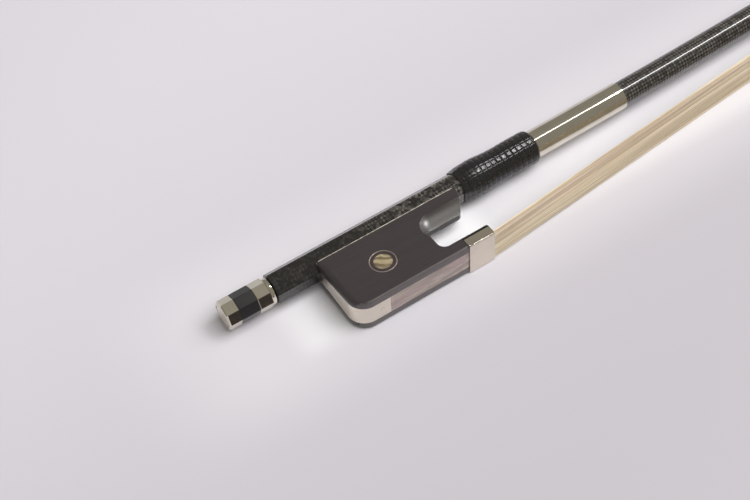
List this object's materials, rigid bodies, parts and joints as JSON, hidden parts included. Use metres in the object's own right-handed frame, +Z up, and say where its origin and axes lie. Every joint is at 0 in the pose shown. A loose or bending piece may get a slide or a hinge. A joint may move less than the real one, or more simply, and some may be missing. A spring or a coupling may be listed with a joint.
{
  "type": "cello bow",
  "caption": "Slackened cello bow lying on its side: cambered stick with head, sliding frog with throat, octagonal screw button, leather and sleeve grip and flat hair ribbon.",
  "frame": {"origin": "centre of the bounding box at its bottom, on the surface that the bow lies on", "axes": "+X along the handle from the button to the head, +Y from the hair to the stick, +Z up from the table"},
  "size_m": [0.7122, 0.0796, 0.0157],
  "materials": {
    "carbon": "clear-coated black carbon fibre with a fine mottled weave",
    "steel": "turned plain steel",
    "nickel_silver": "polished nickel silver, slightly warm, with fine wear",
    "ebony": "polished ebony with faint fine pores",
    "brass": "plain turned brass",
    "pearl": "polished mother of pearl, grey, pink and cream",
    "maple": "plain cut maple",
    "waxed_thread": "bound and waxed thread",
    "grip_leather": "black lizard-grain leather, satin",
    "white_plate": "polished white face plate",
    "horsehair": "bleached horsehair, fine parallel strands"
  },
  "bodies": {
    "stick": {"stick": "carbon", "grip_sleeve": "nickel_silver", "thumb_leather": "grip_leather", "head_plate": "white_plate", "head_plate_liner": "ebony", "head_hair_plug": "maple", "head_hair_knot": "waxed_thread", "hair_ribbon": "horsehair"},
    "frog_unit": {"frog_body": "ebony", "underslide": "nickel_silver", "underslide_screw_rear": "steel", "underslide_screw_front": "steel", "eyelet": "brass", "heel_plate": "nickel_silver", "heel_pin_lower": "nickel_silver", "heel_pin_rear": "nickel_silver", "pearl_slide": "pearl", "slide_backing": "ebony", "ferrule": "nickel_silver", "spread_wedge": "maple", "frog_hair_knot": "waxed_thread", "frog_hair_plug": "maple", "eye_dot_upper": "pearl", "eye_ring_upper": "nickel_silver", "eye_dot_lower": "pearl", "eye_ring_lower": "nickel_silver"},
    "button_unit": {"adjusting_screw": "steel", "button_outer_ring": "nickel_silver", "button_end_cap": "nickel_silver", "button_barrel": "ebony", "button_inner_ring": "nickel_silver"}
  },
  "joints": [
    {"name": "button_turn", "type": "hinge", "parent": "stick", "child": "button_unit", "pos_m": [-0.33704, -0.0106, 0.00745], "axis": [1, 0, 0], "range_deg": [-1080, 3600]},
    {"name": "frog_slide", "type": "slide", "parent": "stick", "child": "frog_unit", "axis": [-1, 0, 0], "range_m": [-0.0021, 0.007], "deforming": ["hair_ribbon"]}
  ],
  "couplings": [
    {"joint": "button_turn", "follows": "frog_slide", "rad_per_m": 8976}
  ]
}
